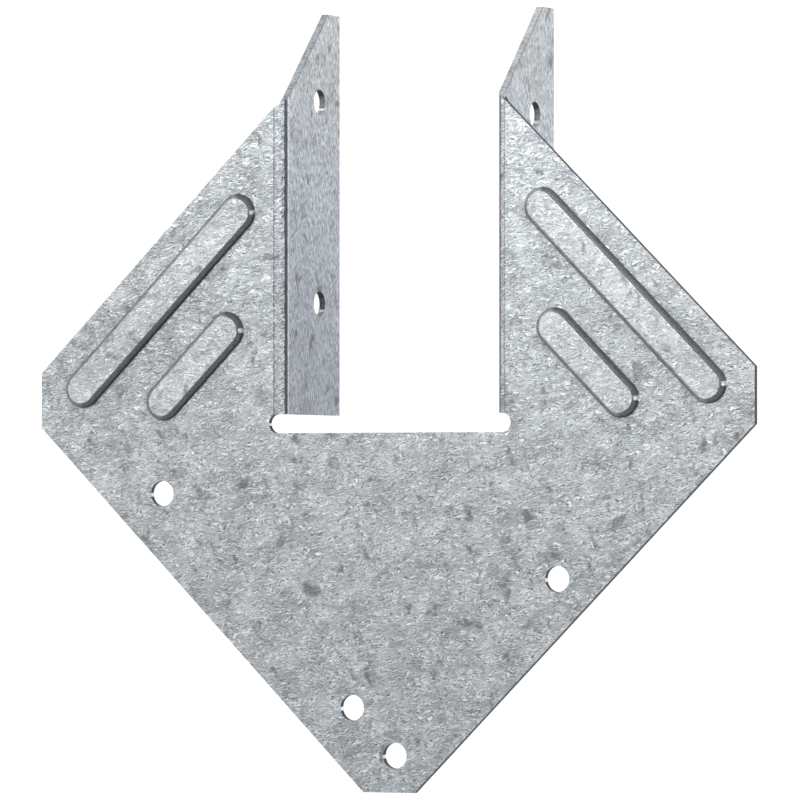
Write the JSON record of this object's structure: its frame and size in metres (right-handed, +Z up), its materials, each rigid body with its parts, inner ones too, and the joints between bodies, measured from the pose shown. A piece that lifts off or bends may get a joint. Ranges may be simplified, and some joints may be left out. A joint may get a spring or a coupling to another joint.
{
  "type": "hurricane tie",
  "caption": "Folded steel tie that nails a rafter or truss down to a wall's top plate, with flanges that hug the timber.",
  "frame": {"origin": "on the plate's seating face, on the centre line, half way between the bottom edge and the foot of the opening", "axes": "+Z up, along the flanges; +Y into the wall, the way the seating face looks; the raised beads face -Y and +X is to their right"},
  "size_m": [0.1334, 0.0229, 0.1333],
  "materials": {
    "galvanised_steel": "galvanised, pale grey zinc with fine flakes and darker spots"
  },
  "bodies": {
    "root": {"hurricane_tie": "galvanised_steel"}
  },
  "joints": []
}
